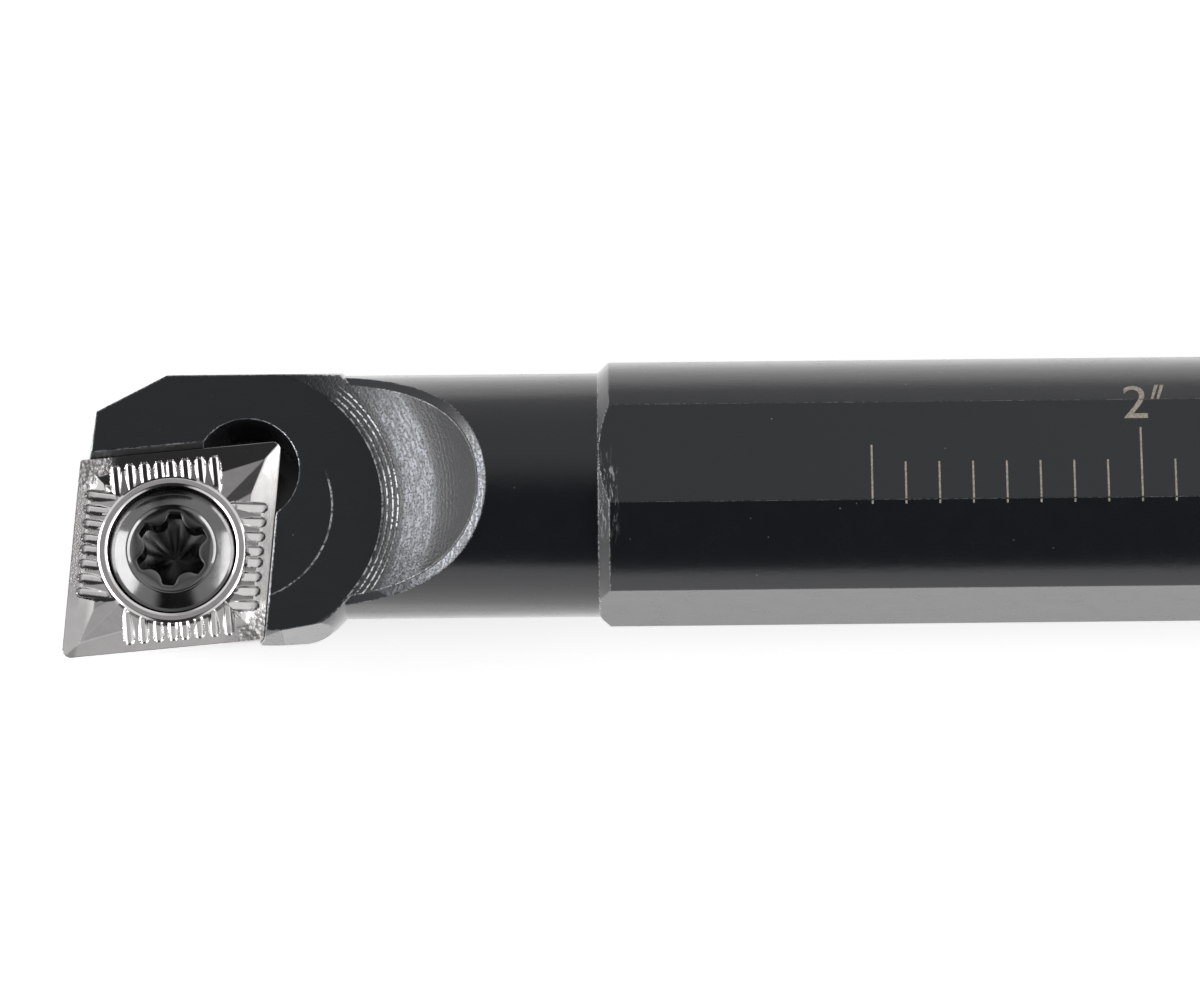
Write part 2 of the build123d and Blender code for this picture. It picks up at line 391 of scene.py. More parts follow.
@dataclass(frozen=True)
class BlackOxideSteel:
    """Alloy steel, turned and milled, then blackened in a hot alkaline bath and oiled.

    The oxide is thin and porous and holds a film of oil, so the steel looks almost black where the studio is
    dark and turns to a clear silver grey where it mirrors the pale floor at a low angle. In millimetres.
    """

    seat: Seat
    marks: ToolMarks
    shank_start: float
    neck_radius: float
    colour: str = "#16191d"
    bare_colour: str = "#d4d7db"
    # Paler grey of the painted highlight on the scoop's wall band and rim chamfer.
    highlight_band_colour: str = "#6a6d72"
    index: float = 1.32
    film_index: float = 1.42
    film_roughness: float = 0.21
    roughness: Ramp = (0.3, 0.7, 0.22, 0.29)
    clouds_per_mm: float = 0.9
    scoop_roughness: float = 0.38
    bare_metal: float = 0.6
    rubbing: Span = (1.4, 0.04)
    grain: float = 0.16
    grain_depth: float = 0.0024
    grain_stretch: tuple[float, float, float] = (0.35, 1.0, 1.0)
    waves_per_mm: float = 1.5
    wave_depth: float = 0.004
    scoop_grain: float = 0.11
    scoop_depth: float = 0.022
    line_height: float = 0.012
    pass_rate: float = 38
    pass_depth: float = 0.0012
    pits: Ramp = (0.36, 0.52, 0.1, 1.0)
    streaks: Ramp = (0.38, 0.6, 0.45, 1.0)
    streak_length: float = 0.7
    edge_radius: float = 0.12
    edge_wear: Ramp = (0.9, 0.99, 1.0, 0.0)
    fleck: float = 0.15
    fleck_mask: Ramp = (0.46, 0.53, 0.0, 1.0)
    stretches_per_mm: float = 0.55
    stretches: Ramp = (0.42, 0.58, 0.25, 1.0)
    dust_per_mm: float = 0.8
    dust_mask: Ramp = (0.018, 0.035, 0.35, 0.0)
    scuffs: Ramp = (0.53, 0.68, 0.0, 0.75)
    scuff_squeeze: tuple[float, float, float] = (9.0, 1.6, 1.6)
    scuff_place: Span = (0.45, -1.9)
    scuff_size: Span = (0.6, 2.4)

    def material(self, name: str) -> bpy.types.Material:
        """Builds the finish.

        Args:
            name: The material's name.

        Returns:
            The material.
        """
        material, nodes = empty_material(name)
        scoop, lines, height, band = self.cutter_marks(nodes)
        rough_cut = nodes.combine("MAXIMUM", scoop, self.pocket_wall(nodes))
        edges, eased = self.worn_edges(nodes)
        flecks = (self.flecks(nodes), *self.rubbing)
        rubbed = nodes.add("Math", flecks, operation="MULTIPLY_ADD", use_clamp=True)
        worn = nodes.combine("MULTIPLY", edges, rubbed)
        # Step lines painted pale and broken by the flecks: painted highlight along the cutter's step ridges.
        # The mask below joins them with real wear through the oxide at edges and scuffs, and dust.
        drawn = nodes.combine("MULTIPLY", lines, rubbed)
        bare_and_lit = nodes.combine("MAXIMUM", worn, drawn, self.step_wear(nodes), self.dust(nodes))
        relief = self.surface_height(nodes, rough_cut, height)
        relief = nodes.add("Math", (lines, self.line_height, relief), operation="MULTIPLY_ADD")
        bump = nodes.add("Bump", {"Height": relief, "Distance": MM, "Normal": eased})
        colour = linear(self.colour)
        # The band mask paints a paler grey on the scoop's wall band and the lit stretch of the rim chamfer:
        # painted highlight.
        for mask, other in ((band, self.highlight_band_colour), (bare_and_lit, self.bare_colour)):
            colour = nodes.add("Mix", {0: mask, 6: colour, 7: linear(other)}, 2, data_type="RGBA")
        cloud = nodes.add("TexNoise", {"Scale": self.clouds_per_mm, "Detail": 5.0}, "Fac")
        rough = nodes.add("MapRange", (cloud, *self.roughness))
        rough = nodes.add("Mix", {0: rough_cut, 2: rough, 3: self.scoop_roughness}, data_type="FLOAT")
        # The painted highlight band is made fully metallic too.
        metal = nodes.combine("MAXIMUM", nodes.combine("MULTIPLY", bare_and_lit, self.bare_metal), band)
        shader = nodes.add("BsdfPrincipled", {
            "Base Color": colour, "Metallic": metal, "Roughness": rough, "IOR": self.index, "Normal": bump,
            "Coat Weight": 1.0, "Coat Roughness": self.film_roughness, "Coat IOR": self.film_index,
            "Coat Normal": bump,
        })
        nodes.add("OutputMaterial", {"Surface": shader})
        return material

    def cutter_marks(self, nodes: Nodes) -> tuple[Socket, Socket, Socket, Socket]:
        """Finds what the round cutter left on the head.

        Args:
            nodes: The material's nodes.

        Returns:
            Masks of the scoop's wall and its step lines, the height over the flat, and the mask of the painted
            highlight on the scoop's wall band and rim chamfer.
        """
        marks = self.marks
        centre = marks.centre(self.seat)
        normal = self.seat.rake_axes()[2]
        from_centre = nodes.add("VectorMath", (nodes.place, centre), operation="SUBTRACT")
        height = nodes.add("VectorMath", (from_centre, normal), "Value", operation="DOT_PRODUCT")
        radius = nodes.axis_distance(centre, normal)
        turn = self.direction(nodes, from_centre)
        rearward = nodes.add("SeparateXYZ", (from_centre,), "X")
        behind = nodes.add("MapRange", (rearward, *marks.wall_reach))
        above = nodes.add("Math", (height, marks.lowest), operation="GREATER_THAN")
        on_wall = nodes.near(radius, self.wall(nodes, height), marks.wall_slack)
        scoop = nodes.combine("MULTIPLY", on_wall, above, behind)
        flat = nodes.near(height, 0.0, marks.flat_slack)
        lines = nodes.combine("MULTIPLY", nodes.near(radius, marks.first_line, marks.step_width), flat)
        for line in marks.step_lines:
            mark = nodes.combine("MULTIPLY", nodes.near(radius, line, marks.step_width), scoop)
            lines = nodes.combine("MAXIMUM", lines, mark)
        lines = nodes.combine("MULTIPLY", lines, nodes.window(turn, marks.line_reach, marks.line_fade))
        lap_radius = nodes.axis_distance(marks.centre(self.seat, marks.lap_shift), normal)
        lap = nodes.near(lap_radius, marks.lap_radius, marks.step_width)
        lap = nodes.combine("MULTIPLY", lap, flat, nodes.window(turn, marks.lap_reach, marks.lap_fade))
        lines = nodes.combine("MAXIMUM", lines, lap)
        # Painted highlight on the scoop's wall band and, below, on the stretch of the rim chamfer that catches
        # the lamp, broken by pits and streaks.
        reached = nodes.window(turn, marks.band_reach, marks.band_end_fade)
        reached = nodes.add("Math", (reached, *marks.band_shares), operation="MULTIPLY_ADD")
        band = nodes.combine("MULTIPLY", nodes.window(radius, marks.band, marks.band_fade), reached, scoop)
        open_part = nodes.combine("SUBTRACT", behind, scoop)
        reached = nodes.window(turn, marks.chamfer_reach, marks.line_fade)
        chamfer = nodes.combine("MULTIPLY", self.rim_chamfer(nodes, height), open_part, reached)
        band = nodes.combine("MAXIMUM", band, chamfer)
        return scoop, lines, height, nodes.combine("MULTIPLY", band, self.pitting(nodes, radius, turn))

    def wall(self, nodes: Nodes, height: Socket) -> Socket:
        """Radius of the scoop's hollow wall at each height.

        Args:
            nodes: The material's nodes.
            height: The height over the head's flat.

        Returns:
            The radius in millimetres.
        """
        hollow = self.marks.wall_radius
        start = math.radians(self.marks.wall_start)
        cosine = nodes.add("Math", (height, -1 / hollow, math.cos(start)), operation="MULTIPLY_ADD")
        square = nodes.combine("MULTIPLY", cosine, cosine)
        left = nodes.add("Math", (1.0, square), operation="SUBTRACT", use_clamp=True)
        sine = nodes.add("Math", (left,), operation="SQRT")
        foot = self.marks.floor_radius - hollow * math.sin(start)
        return nodes.add("Math", (sine, hollow, foot), operation="MULTIPLY_ADD")

    def rim_chamfer(self, nodes: Nodes, height: Socket) -> Socket:
        """Finds what lies inside the neck's round and well over the head's flat.

        Args:
            nodes: The material's nodes.
            height: The height over the head's flat.

        Returns:
            The mask.
        """
        from_axis = nodes.axis_distance(Vector((0, 0, 0)), Vector((1, 0, 0)))
        rim = self.neck_radius - self.marks.chamfer_inset
        inside = nodes.add("Math", (from_axis, rim), operation="LESS_THAN")
        over = nodes.add("Math", (height, self.marks.chamfer_rise), operation="GREATER_THAN")
        return nodes.combine("MULTIPLY", inside, over)

    def direction(self, nodes: Nodes, from_centre: Socket) -> Socket:
        """Direction from the cutter's axis in degrees, 0 to the bar's rear and positive away from the edge.

        Args:
            nodes: The material's nodes.
            from_centre: The place from the centre of the cutter's circle.

        Returns:
            The direction.
        """
        along, across = (
            nodes.add("VectorMath", (from_centre, axis), "Value", operation="DOT_PRODUCT")
            for axis in self.seat.rake_axes()[:2]
        )
        return nodes.add("Math", (nodes.combine("ARCTAN2", across, along),), operation="DEGREES")

    def pitting(self, nodes: Nodes, radius: Socket, turn: Socket) -> Socket:
        """How clean the cutter left the scoop: there are fine dark pits, and streaks along its path.

        Args:
            nodes: The material's nodes.
            radius: The distance from the cutter's axis.
            turn: The direction from that axis, in degrees.

        Returns:
            A share from 0 in a pit to 1.
        """
        # A degree is about 0.14 mm of the cutter's path here.
        along = nodes.combine("MULTIPLY", turn, 0.14 * self.scoop_grain / self.streak_length)
        path = nodes.add("CombineXYZ", (radius, along))
        shares = []
        for vector, mask in ((nodes.place, self.pits), (path, self.streaks)):
            noise = {"Vector": vector, "Scale": 1 / self.scoop_grain, "Detail": 2.0}
            shares.append(nodes.add("MapRange", (nodes.add("TexNoise", noise, "Fac"), *mask)))
        return nodes.combine("MULTIPLY", *shares)

    def pocket_wall(self, nodes: Nodes) -> Socket:
        """Finds the roughly milled wall of the pocket, the head's only face square to the cutting side.

        Args:
            nodes: The material's nodes.

        Returns:
            The mask.
        """
        normal = nodes.add("NewGeometry", output="Normal")
        facing = nodes.add("VectorMath", (normal, (0.0, -1.0, 0.0)), "Value", operation="DOT_PRODUCT")
        square = nodes.add("Math", (facing, self.marks.pocket_facing), operation="GREATER_THAN")
        along = nodes.add("SeparateXYZ", (nodes.place,), "X")
        head = nodes.add("Math", (along, self.seat.station(self.marks.pocket_end)), operation="LESS_THAN")
        return nodes.combine("MULTIPLY", square, head)

    def worn_edges(self, nodes: Nodes) -> tuple[Socket, Socket]:
        """Eases every edge by the deburring radius, and finds where the handling wore it bare.

        Args:
            nodes: The material's nodes.

        Returns:
            A mask of the edges, and the eased normal.
        """
        eased = nodes.add("Bevel", {"Radius": self.edge_radius * MM}, samples=6)
        plain = nodes.add("NewGeometry", output="Normal")
        turn = nodes.add("VectorMath", (eased, plain), "Value", operation="DOT_PRODUCT")
        return nodes.add("MapRange", (turn, *self.edge_wear), interpolation_type="SMOOTHSTEP"), eased

    def flecks(self, nodes: Nodes) -> Socket:
        """Small bright spots with bare stretches between them.

        Args:
            nodes: The material's nodes.

        Returns:
            The mask.
        """
        fine = nodes.add("TexNoise", {"Scale": 1 / self.fleck, "Detail": 3.0, "Roughness": 0.6}, "Fac")
        broad = nodes.add("TexNoise", {"Scale": self.stretches_per_mm, "Detail": 2.0}, "Fac")
        spots = nodes.add("MapRange", (fine, *self.fleck_mask))
        return nodes.combine("MULTIPLY", spots, nodes.add("MapRange", (broad, *self.stretches)))

    def dust(self, nodes: Nodes) -> Socket:
        """Sparse pinpricks where the oxide missed a pore or a grain of dust lies.

        Args:
            nodes: The material's nodes.

        Returns:
            The mask.
        """
        cells = nodes.add("TexVoronoi", {"Scale": self.dust_per_mm}, "Distance")
        return nodes.add("MapRange", (cells, *self.dust_mask))

    def step_wear(self, nodes: Nodes) -> Socket:
        """Scuffs on top of the step from the neck to the shank, where holders rub.

        Args:
            nodes: The material's nodes.

        Returns:
            The mask.
        """
        along, across, _ = nodes.add("SeparateXYZ", (nodes.place,)).node.outputs
        behind, side = self.scuff_place
        length, width = self.scuff_size
        squeezed = nodes.add("VectorMath", (nodes.place, self.scuff_squeeze), operation="MULTIPLY")
        noise = {"Vector": squeezed, "Scale": 1.0, "Detail": 4.0, "Roughness": 0.7}
        scuffs = nodes.add("MapRange", (nodes.add("TexNoise", noise, "Fac"), *self.scuffs))
        band = nodes.near(along, self.seat.station(self.shank_start + behind), length)
        return nodes.combine("MULTIPLY", band, scuffs, nodes.near(across, side, width))

    def surface_height(self, nodes: Nodes, rough_cut: Socket, height: Socket) -> Socket:
        """Height of the machined grain in millimetres: fine all over, coarse and ringed where it is rough.

        Args:
            nodes: The material's nodes.
            rough_cut: The mask of the rough faces.
            height: The height over the head's flat, which the cutter's passes follow.

        Returns:
            The height.
        """
        drawn = nodes.add("VectorMath", (nodes.place, self.grain_stretch), operation="MULTIPLY")
        fine = nodes.add("TexNoise", {"Vector": drawn, "Scale": 1 / self.grain, "Detail": 4.0}, "Fac")
        fine = nodes.combine("MULTIPLY", fine, self.grain_depth)
        waves = nodes.add("TexNoise", {"Vector": drawn, "Scale": self.waves_per_mm, "Detail": 3.0}, "Fac")
        fine = nodes.add("Math", (waves, self.wave_depth, fine), operation="MULTIPLY_ADD")
        coarse = nodes.add("TexNoise", {"Scale": 1 / self.scoop_grain, "Detail": 3.0}, "Fac")
        coarse = nodes.combine("MULTIPLY", coarse, self.scoop_depth)
        passes = nodes.add("Math", (nodes.combine("MULTIPLY", height, self.pass_rate),), operation="SINE")
        rings = nodes.add("Math", (passes, self.pass_depth, coarse), operation="MULTIPLY_ADD")
        return nodes.add("Mix", {0: rough_cut, 2: fine, 3: rings}, data_type="FLOAT")


@dataclass(frozen=True)
class PressedCarbide:
    """Tungsten carbide, pressed, sintered and polished, with its edges left as the grit wheel cut them.

    A dense grey metal that mirrors the lamps almost white and the dark side of the studio almost black.
    Where the attribute grit is high the surface is pitted and sparkles. The second attribute darkens the
    colour:
    partly the wheel's duller finish, partly painted shade fitted to the darker lands, the cutting corner's
    facet and the blunt corners. In millimetres.
    """

    colour: str = "#e2e0df"
    roughness: Ramp = (0.0, 1.0, 0.13, 0.3)
    grit: float = 0.08
    grit_depth: float = 0.04
    # How much the second attribute darkens the colour: partly the wheel's duller finish, partly painted shade.
    ground_shade: Ramp = (0.0, 1.0, 1.0, 0.38)
    chip: float = 0.22
    chip_mask: Ramp = (0.5, 0.9, 0.0, 1.0)
    chip_depth: float = 0.09
    ripples_per_mm: float = 2.2
    ripple_depth: float = 0.0036
    ripple_shade: Ramp = (0.3, 0.7, 0.94, 1.0)

    def material(self, name: str) -> bpy.types.Material:
        """Builds the finish.

        Args:
            name: The material's name.

        Returns:
            The material.
        """
        material, nodes = empty_material(name)
        grit = nodes.add("Attribute", output="Fac", attribute_name="grit")
        ground_and_shade = nodes.add("Attribute", output="Fac", attribute_name="ground_and_shade")
        pits = nodes.add("TexNoise", {"Scale": 1 / self.grit, "Detail": 3.0, "Roughness": 0.6}, "Fac")
        soft = nodes.add("TexNoise", {"Scale": self.ripples_per_mm, "Detail": 3.0}, "Fac")
        chips = nodes.add("TexVoronoi", {"Scale": 1 / self.chip}, "Distance")
        chipped = nodes.add("MapRange", (grit, *self.chip_mask))
        height = nodes.combine("MULTIPLY", soft, self.ripple_depth)
        for relief, mask, depth in ((pits, grit, self.grit_depth), (chips, chipped, self.chip_depth)):
            relief = nodes.combine("MULTIPLY", relief, mask)
            height = nodes.add("Math", (relief, depth, height), operation="MULTIPLY_ADD")
        shade = nodes.add("MapRange", (soft, *self.ripple_shade))
        # Darker colour on the lands, the cutting facet and the blunt corners: partly the wheel's duller
        # finish, partly painted shade.
        shade = nodes.combine("MULTIPLY", shade, nodes.add("MapRange", (ground_and_shade, *self.ground_shade)))
        colours = {0: 1.0, 6: linear(self.colour), 7: shade}
        colour = nodes.add("Mix", colours, 2, data_type="RGBA", blend_type="MULTIPLY")
        shader = nodes.add("BsdfPrincipled", {
            "Base Color": colour, "Metallic": 1.0,
            "Roughness": nodes.add("MapRange", (grit, *self.roughness)),
            "Normal": nodes.add("Bump", {"Height": height, "Distance": MM}),
        })
        nodes.add("OutputMaterial", {"Surface": shader})
        return material


@dataclass(frozen=True)
class BlackenedScrewSteel:
    """Hardened screw steel, cold headed, blackened and oiled.

    The oil fills the oxide's pores, so the head is a deep glossy black that shows each lamp as a sharp white
    patch with a slightly broken border. In millimetres.
    """

    colour: str = "#0b0b0c"
    index: float = 2.2
    film_index: float = 1.35
    film_roughness: float = 0.06
    films_per_mm: float = 1.7
    roughness: Ramp = (0.35, 0.65, 0.11, 0.2)
    pore: float = 0.09
    pore_depth: float = 0.0012

    def material(self, name: str) -> bpy.types.Material:
        """Builds the finish.

        Args:
            name: The material's name.

        Returns:
            The material.
        """
        material, nodes = empty_material(name)
        pores = nodes.add("TexNoise", {"Scale": 1 / self.pore, "Detail": 2.0}, "Fac")
        height = nodes.combine("MULTIPLY", pores, self.pore_depth)
        film = nodes.add("TexNoise", {"Scale": self.films_per_mm, "Detail": 4.0}, "Fac")
        shader = nodes.add("BsdfPrincipled", {
            "Base Color": linear(self.colour), "IOR": self.index, "Coat Weight": 1.0,
            "Coat Roughness": self.film_roughness, "Coat IOR": self.film_index,
            "Roughness": nodes.add("MapRange", (film, *self.roughness)),
            "Normal": nodes.add("Bump", {"Height": height, "Distance": MM}),
        })
        nodes.add("OutputMaterial", {"Surface": shader})
        return material


@dataclass(frozen=True)
class LaserMark:
    """Blackened steel burnt bare by a marking laser: a pale, warm, quite matt line with tiny ripples."""

    colour: str = "#b9b0a4"
    dark_colour: str = "#8f877c"
    metal: float = 0.25
    roughness: float = 0.55
    ripple: float = 0.09
    ripple_depth: float = 0.004
    blend: Ramp = (0.4, 0.62, 0.0, 1.0)

    def material(self, name: str) -> bpy.types.Material:
        """Builds the finish.

        Args:
            name: The material's name.

        Returns:
            The material.
        """
        material, nodes = empty_material(name)
        noise = nodes.add("TexNoise", {"Scale": 1 / self.ripple, "Detail": 2.0}, "Fac")
        blend = nodes.add("MapRange", (noise, *self.blend))
        colours = {0: blend, 6: linear(self.colour), 7: linear(self.dark_colour)}
        height = nodes.combine("MULTIPLY", noise, self.ripple_depth)
        shader = nodes.add("BsdfPrincipled", {
            "Base Color": nodes.add("Mix", colours, 2, data_type="RGBA"),
            "Metallic": self.metal, "Roughness": self.roughness,
            "Normal": nodes.add("Bump", {"Height": height, "Distance": MM}),
        })
        nodes.add("OutputMaterial", {"Surface": shader})
        return material


@dataclass
class BarBody:
    """The steel bar, which keeps its own solid, and the scale marked on its top flat. Millimetres."""

    seat: Seat
    marks: ToolMarks = ToolMarks()
    mark_finish: LaserMark = LaserMark()
    shank_radius: float = 6.35
    flat_height: float = 5.86
    shank_start: float = 25.6
    neck_radius: float = 5.84
    scale_zero: float = 0.4
    inch: float = 25.4
    parts_of_inch: int = 16
    first_mark: int = 24
    last_mark: int = 92
    mark_width: float = 0.088
    mark_foot: float = -2.63
    short_mark: float = 2.07
    half_mark: float = 2.92
    inch_mark: float = 3.68
    mark_lift: float = 0.003
    mark_depth: float = 0.02
    mark_slice: float = 0.12
    figure_foot: float = 1.5
    figure_height: float = 1.77
    figure_width: float = 1.13
    label_shift: float = 0.2
    prime_rise: float = 0.06
    prime_height: float = 0.88
    prime_gap: float = 0.16
    prime_pitch: float = 0.27
    prime_foot: float = 0.12
    prime_top: float = 0.18
    prime_slant: float = 0.22
    primes_width: float = 0.62

    def surface(self, across: float) -> float:
        """Height of the shank's top at a distance across the bar."""
        return min(self.flat_height, math.sqrt(self.shank_radius**2 - across**2))

    def mark_length(self, number: int) -> float:
        """Length of a mark: longest at an inch, longer at a half."""
        if number % self.parts_of_inch == 0:
            return self.inch_mark
        return self.half_mark if number % (self.parts_of_inch // 2) == 0 else self.short_mark

    def dress_body(self) -> bpy.types.Object:
        """Gives the bar's own solid its finish.

        Returns:
            The bar's object.
        """
        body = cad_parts["bar_body"]
        finish = BlackOxideSteel(self.seat, self.marks, self.shank_start, self.neck_radius)
        dress(body, finish.material("black_oxide_steel"))
        return body

    def build_scale(self) -> bpy.types.Object:
        """Builds the marks and the figures of the inch scale.

        Returns:
            The scale as one piece.
        """
        shape = bmesh.new()
        for number in range(self.first_mark, self.last_mark + 1):
            middle = self.seat.station(self.scale_zero + number * self.inch / self.parts_of_inch)
            low, high = middle - self.mark_width / 2, middle + self.mark_width / 2
            foot, top = self.mark_foot, self.mark_foot + self.mark_length(number)
            self.add_outline(shape, [(low, foot), (high, foot), (high, top), (low, top)])
            if number % self.parts_of_inch == 0:
                self.add_label(shape, str(number // self.parts_of_inch), middle)
        self.wrap(shape)
        mesh = bpy.data.meshes.new("scale_marks")
        shape.to_mesh(mesh)
        shape.free()
        mesh.transform(Matrix.Scale(MM, 4))
        outwards(mesh)
        piece = new_piece("scale_marks", mesh)
        dress(piece, self.mark_finish.material("laser_marked_steel"))
        return piece

    def add_outline(self, shape: bmesh.types.BMesh, outline: Iterable[tuple[float, float]]) -> None:
        """Adds a flat face to the scale, given by its corners along and across the bar."""
        shape.faces.new([shape.verts.new((x, y, 0)) for x, y in outline])

    def add_label(self, shape: bmesh.types.BMesh, figure: str, middle: float) -> None:
        """Adds a figure with its two inch strokes over a mark.

        Args:
            shape: The scale so far.
            figure: The figure.
            middle: X of the mark that it stands over.
        """
        start = middle - (self.figure_width + self.prime_gap + self.primes_width) / 2 + self.label_shift
        self.add_figure(shape, figure, start)
        top = self.figure_foot + self.figure_height + self.prime_rise
        foot = top - self.prime_height
        for number in range(2):
            x = start + self.figure_width + self.prime_gap + number * self.prime_pitch
            upper = x + self.prime_slant
            feet = [(x, foot), (x + self.prime_foot, foot)]
            self.add_outline(shape, [*feet, (upper + self.prime_top, top), (upper, top)])

    def add_figure(self, shape: bmesh.types.BMesh, figure: str, start: float) -> None:
        """Adds a figure in the plain built-in face, fitted to the figure's box.

        Args:
            shape: The scale so far.
            figure: The figure.
            start: X of its left side.
        """
        curve = bpy.data.curves.new("figure", "FONT")
        curve.body = figure
        curve.resolution_u = 8
        holder = new_object("figure", curve)
        bpy.context.view_layer.update()
        drawn = bpy.data.meshes.new_from_object(holder.evaluated_get(bpy.context.evaluated_depsgraph_get()))
        points = np.array([v.co[:2] for v in drawn.vertices])
        low, size = points.min(axis=0), np.ptp(points, axis=0)
        box = np.array((self.figure_width, self.figure_height))
        placed = (points - low) / size * box + np.array((start, self.figure_foot))
        corners = [shape.verts.new((x, y, 0)) for x, y in placed]
        for polygon in drawn.polygons:
            shape.faces.new([corners[index] for index in polygon.vertices])
        bpy.data.objects.remove(holder)
        bpy.data.meshes.remove(drawn)
        bpy.data.curves.remove(curve)

    def wrap(self, shape: bmesh.types.BMesh) -> None:
        """Lays the flat scale on the shank's top, bends its ends round the bar and gives it thickness.

        Args:
            shape: The scale, drawn flat.
        """
        bmesh.ops.remove_doubles(shape, verts=shape.verts, dist=1e-6)
        count = int((self.figure_foot + self.figure_height + 0.2 - self.mark_foot) / self.mark_slice)
        for step in range(1, count + 1):
            cut = (0, self.mark_foot + step * self.mark_slice, 0)
            parts = shape.verts[:] + shape.edges[:] + shape.faces[:]
            bmesh.ops.bisect_plane(shape, geom=parts, plane_co=cut, plane_no=(0, 1, 0))
        for point in shape.verts:
            point.co.z = self.surface(point.co.y) + self.mark_lift
        under = bmesh.ops.extrude_face_region(shape, geom=shape.faces[:])
        sunk = [item for item in under["geom"] if isinstance(item, bmesh.types.BMVert)]
        bmesh.ops.translate(shape, verts=sunk, vec=(0, 0, -self.mark_depth))


@dataclass
class RingForm:
    """A form of rings of points on shared rays, in millimetres from the middle of the insert's top face."""

    seat: Seat
    rays: int = 360
    sharp_angle: float = 38

    @cached_property
    def turn(self) -> np.ndarray:
        """Directions of the rays, in radians."""
        return np.linspace(0, 2 * math.pi, self.rays, endpoint=False)

    def row(self, reach: Any, height: Any) -> np.ndarray:
        """One ring of points.

        Args:
            reach: The ring's radius, one for all rays or one each.
            height: Its height, likewise.

        Returns:
            The points.
        """
        x, y = reach * np.cos(self.turn), reach * np.sin(self.turn)
        return np.column_stack((x, y, np.broadcast_to(height, self.turn.shape)))

    def mesh(self, name: str, rows: Sequence[np.ndarray], closed: bool = False) -> bpy.types.Mesh:
        """Joins rings of points with quads into one smooth closed mesh in its place on the bar.

        Args:
            name: The mesh's name.
            rows: The rings, in the order in which they join.
            closed: Whether the last ring joins the first. If not, each end closes to its middle.

        Returns:
            The mesh, in metres in the shared frame.
        """
        count = self.rays
        points = np.vstack(rows)
        here = np.arange(count)
        after = np.roll(here, -1)
        starts = [(k * count, (k + 1) * count) for k in range(len(rows) - 1)]
        last = (len(rows) - 1) * count
        if closed:
            starts.append((last, 0))
        faces = []
        for low, high in starts:
            faces += np.column_stack((here + low, after + low, after + high, here + high)).tolist()
        if not closed:
            middle = len(points)
            points = np.vstack((points, rows[0].mean(axis=0), rows[-1].mean(axis=0)))
            faces += np.column_stack((after, here, np.full(count, middle))).tolist()
            faces += np.column_stack((here + last, after + last, np.full(count, middle + 1))).tolist()
        mesh = bpy.data.meshes.new(name)
        mesh.from_pydata(points.tolist(), [], faces)
        mesh.transform(self.seat.insert_matrix())
        mesh.validate()
        outwards(mesh)
        mesh.shade_smooth()
        mesh.set_sharp_from_angle(angle=math.radians(self.sharp_angle))
        return mesh


